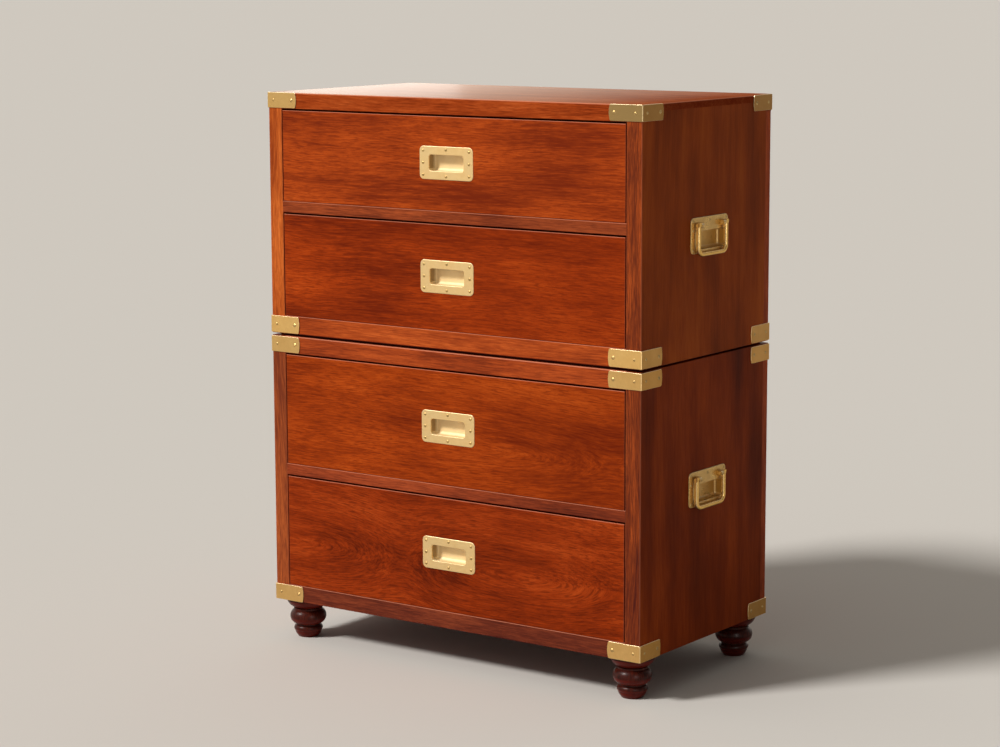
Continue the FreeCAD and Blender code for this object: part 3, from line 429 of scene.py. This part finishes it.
def brass(name, bright, dull, dulling=0.4, roughness=0.38, edge=0.6, pan=0.0, recess=None,
          top_right_shade=None, right_face_shade=None, rounded=False, metallic=1.0):
    """A brass with these marks:

    edge: how bright the wear and painted highlight on the rounded edges are
    pan: how dark the painted shade on the walls of a pull's pan is; deep in the pan a paler painted
    light is added too
    recess: the tone inside a handle plate's recess
    weathered: the tone of a painted shade on the top straps, most at the right
    aside: the tone of a painted shade on the faces that look right
    rounded: painted shade and highlight round a bar
    """
    material, tree, shader, coordinates = new_material(name)
    surface = tree.group(BRASS_SURFACE, vector=coordinates["Object"], bright=bright, dull=dull,
                         dulling=dulling, roughness=roughness)
    colour = surface["Color"]
    rough = surface["Roughness"]
    shader.inputs["Metallic"].default_value = metallic
    across, depth, height = tree.axes(coordinates["Object"])
    x, _, z = tree.axes(coordinates["Normal"])
    # Painted shade on the top straps, most at the right.
    if top_right_shade:
        rightward = tree.remap(across, *RIGHT_STRAPS, 0.3, 0.85)
        corner = tree.math("MULTIPLY", tree.remap(height, *TOP_STRAPS), rightward)
        colour = tree.mix(corner, colour, top_right_shade)
    # Painted shade on the faces that look right.
    if right_face_shade:
        colour = tree.mix(tree.remap(x, 0.8, 0.98, 0.0, 0.7), colour, right_face_shade)
    if rounded:
        colour = shade_and_highlight_bars(tree, coordinates["Normal"], colour)
    if recess:
        inset = tree.remap(tree.math("ABSOLUTE", across), *RECESS)
        colour = tree.mix(inset, colour, recess)
        tree.feed(shader.inputs["Metallic"], tree.remap(inset, 0.0, 1.0, metallic, 0.4))
    # Painted light deep in the pan, and painted shade on its walls that look down or right.
    if pan:
        deep = tree.remap(depth, *PAN)
        shaded = tree.math("MAXIMUM", tree.remap(z, -0.4, -0.85), tree.remap(x, 0.45, 0.85))
        shaded = tree.math("MULTIPLY", shaded, tree.math("MULTIPLY", deep, pan))
        colour = tree.mix(tree.math("MULTIPLY", deep, 0.4), colour, RUBBED_AND_HIGHLIT_BRASS)
        colour = tree.mix(shaded, colour, PAINTED_BRASS_SHADE)
        rough = tree.math("ADD", rough, tree.math("MULTIPLY", deep, 0.2))
        tree.feed(shader.inputs["Metallic"], tree.remap(deep, 0.0, 1.0, metallic, 0.35))
    # Wear and a painted highlight on rounded edges.
    arris = tree.group(ARRIS, normal=coordinates["Normal"])
    rubbed_and_highlit = tree.math("ADD", arris["Lit"], tree.math("MULTIPLY", arris["Under"], 0.3))
    colour = tree.mix(tree.math("MULTIPLY", rubbed_and_highlit, edge), colour, RUBBED_AND_HIGHLIT_BRASS)
    tree.feed(shader.inputs["Base Color"], colour)
    tree.feed(shader.inputs["Roughness"], rough)
    add_relief(tree, shader, surface["Height"], 0.12)
    return material


# Finishes of the chest ---------------------------------------------------------------------------


def finish(material, slot, *names):
    """Gives CAD nodes a material; the slot, the record's name for it, is not used."""
    for name in names:
        piece = nodes[name]
        if not piece.material_slots:
            piece.data.materials.append(material)
        for place in piece.material_slots:
            place.material = material


CASES = ("lower", "upper")
SIDES = ("left", "right")
DRAWERS = range(1, 5)

# A wood's palette holds its light, middle and dark tones.
DRAWER_FACES = {
    1: (tone(202, 90, 30), tone(170, 68, 18), tone(114, 36, 8)),
    2: (tone(192, 78, 20), tone(160, 57, 9), tone(106, 30, 3)),
    3: (tone(192, 83, 22), tone(160, 61, 10), tone(106, 31, 3)),
    4: (tone(176, 70, 20), tone(142, 48, 7), tone(88, 24, 2)),
}
# How far each drawer front darkens with painted shade towards the right.
DRAWER_DIMNESS = {1: 0.12, 2: 0.3, 3: 0.25, 4: 0.06}
DRAWER_HEARTS = {
    3: [((0.33, 0.0, 0.385), 0.1, 0.035)],
    4: [((-0.1, 0.0, 0.18), 0.1, 0.05), ((0.35, 0.0, 0.178), 0.12, 0.05)],
}
RAIL = (tone(186, 83, 34), tone(154, 63, 25), tone(102, 37, 17))
PALE_RAIL = (tone(196, 92, 38), tone(166, 70, 26), tone(120, 45, 17))
DIVIDERS = {
    "upper": (tone(180, 86, 43), tone(150, 68, 34), tone(94, 37, 20)),
    "lower": (tone(172, 78, 40), tone(142, 60, 31), tone(84, 32, 19)),
}
BASE = (tone(136, 63, 37), tone(106, 45, 28), tone(72, 28, 20))
# A dark palette that paints the shade of the seam on the strips in it.
SEAM_SHADE_STRIP = (tone(96, 34, 20), tone(78, 26, 15), tone(56, 18, 12))
TOP = (tone(176, 98, 56), tone(150, 74, 38), tone(112, 46, 22))
TOP_EDGE = (tone(184, 86, 38), tone(156, 64, 24), tone(108, 38, 14))
RIGHT_STILE = (tone(172, 78, 32), tone(120, 52, 24), tone(74, 28, 22))
STILES = {
    ("upper", "left"): (tone(214, 114, 50), tone(184, 88, 34), tone(140, 58, 22)),
    ("lower", "left"): (tone(190, 98, 46), tone(156, 76, 38), tone(112, 50, 30)),
    ("upper", "right"): RIGHT_STILE,
    ("lower", "right"): RIGHT_STILE,
}
LEFT_PANEL = (tone(166, 66, 20), tone(138, 49, 12), tone(98, 31, 6))
PANELS = {
    ("lower", "left"): LEFT_PANEL,
    ("upper", "left"): LEFT_PANEL,
    ("lower", "right"): (tone(154, 64, 12), tone(120, 43, 4), tone(80, 25, 2)),
    ("upper", "right"): (tone(166, 78, 20), tone(136, 57, 10), tone(94, 36, 5)),
}
PLAIN_WOOD = (tone(216, 168, 120), tone(198, 146, 98), tone(154, 102, 66))
# The back feet are darker with painted shade.
FEET_BACK_SHADED = {
    "front": (tone(98, 37, 23), tone(67, 22, 13), tone(34, 11, 8)),
    "back": (tone(84, 30, 18), tone(56, 17, 10), tone(28, 8, 6)),
}


def finish_cases():
    """The boards, rails and strips of both cases."""
    for case, palette in DIVIDERS.items():
        finish(
            timber(f"{case}_divider", "X", palette, shut=(0.7, 0.7), dim=0.4,
                   waviness=0.02, blotches=0.7),
            "case_mahogany",
            f"{case}_divider_rail",
        )
    finish(
        timber("case_base", "X", BASE, shut=(0.7, 0.7), dim=0.2, shift=(0.6, 0.0, 0.1),
               waviness=0.02, blotches=0.7),
        "case_mahogany",
        "lower_bottom_board",
    )
    finish(
        timber("pale_rail", "X", PALE_RAIL, shut=(0.7, 0.7), shift=(0.4, 0.0, 0.2),
               waviness=0.02, blotches=0.5),
        "case_mahogany",
        "upper_bottom_board",
    )
    finish(
        timber("seam_board", "X", RAIL, seam=True, shift=(0.0, 0.0, 0.3),
               waviness=0.02, blotches=0.8),
        "case_mahogany",
        "lower_top_board",
    )
    finish(timber("seam_strips", "X", SEAM_SHADE_STRIP, edge=0.0), "case_mahogany", "seam_fillets")
    finish(
        timber("case_top", "X", TOP, stile=TOP_EDGE, shut=(0.5, 0.0), polished=True, specular=0.0,
               shift=(0.3, 0.0, 0.4), waviness=0.03, blotches=0.5),
        "case_mahogany",
        "upper_top_board",
    )
    for number, case in enumerate(CASES):
        for side in SIDES:
            finish(
                timber(f"{case}_{side}_panel", "Z", PANELS[case, side], stile=STILES[case, side],
                       edge=0.8, specular=0.03, shift=(0.2 * number, 0.3, 0.1), waviness=0.03,
                       streaks=0.35, bands=0.45, blotches=0.7, pores=0.1),
                "case_mahogany",
                f"{case}_side_{side}",
            )
    finish(
        timber("case_back", "Z", RAIL, board=2 * HALF_WIDTH / BACK_BOARDS, edge_tone=SHADE_AND_DARK_JOINTS,
               shift=(0.4, 0.2, 0.0), waviness=0.04),
        "case_mahogany",
        "lower_back_boards", "upper_back_boards",
    )


def finish_drawers():
    """The drawers, and the runners and stops that they slide on."""
    for number in DRAWERS:
        finish(
            timber(f"drawer_{number}_face", "X", DRAWER_FACES[number],
                   DRAWER_HEARTS.get(number, ()), shut=(0.75, 0.6), dim=DRAWER_DIMNESS[number],
                   shift=(0.37 * number, 0.11, 0.23 * number), waviness=0.03,
                   streaks=0.7, bands=0.38, blotches=0.8, pores=0.6),
            "drawer_mahogany",
            f"drawer_{number}_front",
        )
        finish(
            timber(f"drawer_{number}_box_sides", "Y", PLAIN_WOOD, edge=0.2,
                   shift=(0.1 * number, 0.2, 0.0)),
            "drawer_box_wood",
            f"drawer_{number}_side_left", f"drawer_{number}_side_right",
        )
        finish(
            timber(f"drawer_{number}_box_back", "X", PLAIN_WOOD, edge=0.2,
                   shift=(0.3 * number, 0.0, 0.1)),
            "drawer_box_wood",
            f"drawer_{number}_back", f"drawer_{number}_bottom_panel",
        )
    finish(
        timber("runner_wood", "Y", PLAIN_WOOD, edge=0.2),
        "drawer_box_wood",
        "lower_runners_and_stops", "upper_runners_and_stops",
    )


def finish_feet():
    """The turned feet, of which the back ones are darker with painted shade."""
    for end, palette in FEET_BACK_SHADED.items():
        finish(
            timber(f"turned_feet_{end}", "Z", palette, edge=0.0, roughness=0.3, specular=0.14,
                   waviness=0.02),
            "turned_mahogany",
            *[f"foot_{end}_{side}" for side in SIDES],
        )


def finish_brasses():
    """The straps, pulls, handles, pegs and screws."""
    finish(
        brass("lower_strap_satin_brass", tone(231, 189, 120), tone(187, 143, 78), edge=1.0,
              roughness=0.34, right_face_shade=tone(172, 118, 34)),
        "strap_brass",
        "lower_corner_straps",
    )
    finish(
        brass("upper_strap_satin_brass", tone(246, 202, 127), tone(199, 152, 83), edge=1.0,
              roughness=0.34, top_right_shade=tone(146, 122, 80), right_face_shade=tone(155, 104, 28)),
        "strap_brass",
        "upper_corner_straps",
    )
    finish(
        brass("pull_satin_brass", tone(234, 204, 148), tone(208, 171, 110), roughness=0.5,
              pan=0.7),
        "pull_brass",
        *[f"drawer_{number}_pull" for number in DRAWERS],
    )
    finish(
        brass("handle_plate_brass", tone(212, 172, 99), tone(156, 114, 56), edge=0.35,
              roughness=0.28, metallic=0.7, recess=tone(202, 160, 84)),
        "pull_brass",
        "stacking_pegs",
        *[f"{case}_handle_plate_{side}" for case in CASES for side in SIDES],
    )
    finish(
        brass("polished_bail_brass", tone(228, 180, 90), tone(184, 134, 56), dulling=0.3,
              edge=0.0, roughness=0.2, metallic=0.8, rounded=True),
        "pull_brass",
        *[f"{case}_bail_{side}" for case in CASES for side in SIDES],
    )
    finish(
        brass("screw_heads", tone(196, 166, 110), tone(126, 98, 56), edge=0.0, roughness=0.4),
        "screw_brass",
        "lower_brass_screws", "upper_brass_screws",
        *[f"drawer_{number}_pull_screws" for number in DRAWERS],
    )


# Stage -------------------------------------------------------------------------------------------

FLOOR_SIZE = 160.0
FLOOR_COLOUR = (0.62, 0.6, 0.57, 1.0)
DIM_SIDE = (0.26, 0.245, 0.225, 1.0)
LIT_SIDE = (1.0, 0.94, 0.85, 1.0)
WORLD_LIGHT = 0.5
WORLD_SEEN = 0.95
LAMP_COLOUR = (1.0, 0.97, 0.93)
CAMERA_TURN = 35.7162
CAMERA_HEIGHT = 9.0095
CAMERA_ROLL = -0.2005
CAMERA_PLACE = (2.5705, -3.6261, 1.1851)
CAMERA_LENS = 93.961
CAMERA_SENSOR = 36.0


def make_floor():
    """A plain pale floor."""
    bpy.ops.mesh.primitive_plane_add(size=FLOOR_SIZE, location=(0.0, 0.0, 0.0))
    floor = bpy.context.active_object
    floor.name = "floor"
    material, _, shader, _ = new_material("floor_pale")
    shader.inputs["Base Color"].default_value = FLOOR_COLOUR
    shader.inputs["Roughness"].default_value = 0.9
    shader.inputs["Specular IOR Level"].default_value = 0.0
    floor.data.materials.append(material)


def make_world():
    """A pale studio that is dimmer on the chest's right-hand side."""
    world = bpy.data.worlds.new("studio")
    bpy.context.scene.world = world
    world.use_nodes = True
    tree = Tree(world.node_tree)
    background = world.node_tree.nodes["Background"]
    path = tree.add("ShaderNodeLightPath").outputs
    seen = tree.math("MAXIMUM", path["Is Camera Ray"], path["Is Glossy Ray"])
    seen = tree.math("MAXIMUM", seen, path["Is Transmission Ray"])
    rightward = tree.axes(tree.add("ShaderNodeTexCoord").outputs["Generated"])[0]
    lit = tree.remap(rightward, 0.75, -0.3, curve="SMOOTHSTEP")
    tree.feed(background.inputs["Color"], tree.mix(lit, DIM_SIDE, LIT_SIDE))
    strength = tree.remap(seen, 0.0, 1.0, WORLD_LIGHT, WORLD_SEEN)
    tree.feed(background.inputs["Strength"], strength)


def towards(turn, height):
    """The direction at an angle to the right of the front, and one above the floor."""
    turn, height = math.radians(turn), math.radians(height)
    return Vector((
        math.sin(turn) * math.cos(height),
        -math.cos(turn) * math.cos(height),
        math.sin(height),
    ))


def add_lamp(name, kind, energy, direction):
    """A lamp that shines from a direction."""
    light = bpy.data.lights.new(name, kind)
    light.energy = energy
    light.color = LAMP_COLOUR
    lamp = bpy.data.objects.new(name, light)
    lamp.rotation_euler = direction.to_track_quat("Z", "Y").to_euler()
    bpy.context.scene.collection.objects.link(lamp)
    return lamp


def add_pale_panel(name, energy, direction, middle, distance, width, height):
    """A lit panel that only shows as a reflection."""
    panel = add_lamp(name, "AREA", energy, direction)
    panel.data.shape = "RECTANGLE"
    panel.data.size = width
    panel.data.size_y = height
    panel.location = Vector(middle) + direction * distance
    panel.visible_camera = False
    panel.visible_diffuse = False


def make_lamps():
    """A soft sun at the front left, and pale panels at the right and behind the top's left end."""
    key = add_lamp("key", "SUN", energy=3.0, direction=towards(-32, 42))
    key.data.angle = math.radians(12)
    add_pale_panel("right_panel", energy=16.0, direction=towards(56, 6),
                   middle=(0.0, 0.0, 0.5), distance=3.0, width=0.5, height=1.6)
    add_pale_panel("rear_panel", energy=1.2, direction=towards(-142, 7),
                   middle=(-0.34, 0.0, 0.96), distance=3.0, width=0.5, height=0.8)


def make_camera():
    """A camera at the front right, a little above the middle of the chest."""
    back = towards(CAMERA_TURN, CAMERA_HEIGHT)
    level_right = (-back).cross(Vector((0.0, 0.0, 1.0))).normalized()
    level_up = level_right.cross(-back)
    roll = math.radians(CAMERA_ROLL)
    right = math.cos(roll) * level_right + math.sin(roll) * level_up
    up = -math.sin(roll) * level_right + math.cos(roll) * level_up
    view = Matrix((right, up, back)).transposed().to_4x4()
    view.translation = Vector(CAMERA_PLACE)
    lens = bpy.data.cameras.new("camera")
    lens.sensor_width = CAMERA_SENSOR
    lens.lens = CAMERA_LENS
    lens.clip_end = 500.0
    camera = bpy.data.objects.new("camera", lens)
    camera.matrix_world = view
    bpy.context.scene.collection.objects.link(camera)
    bpy.context.scene.camera = camera


finish_cases()
finish_drawers()
finish_feet()
finish_brasses()
make_floor()
make_world()
make_lamps()
make_camera()
bpy.context.scene.view_settings.view_transform = "Standard"


# Scene update ------------------------------------------------------------------------------------


bpy.context.view_layer.update()
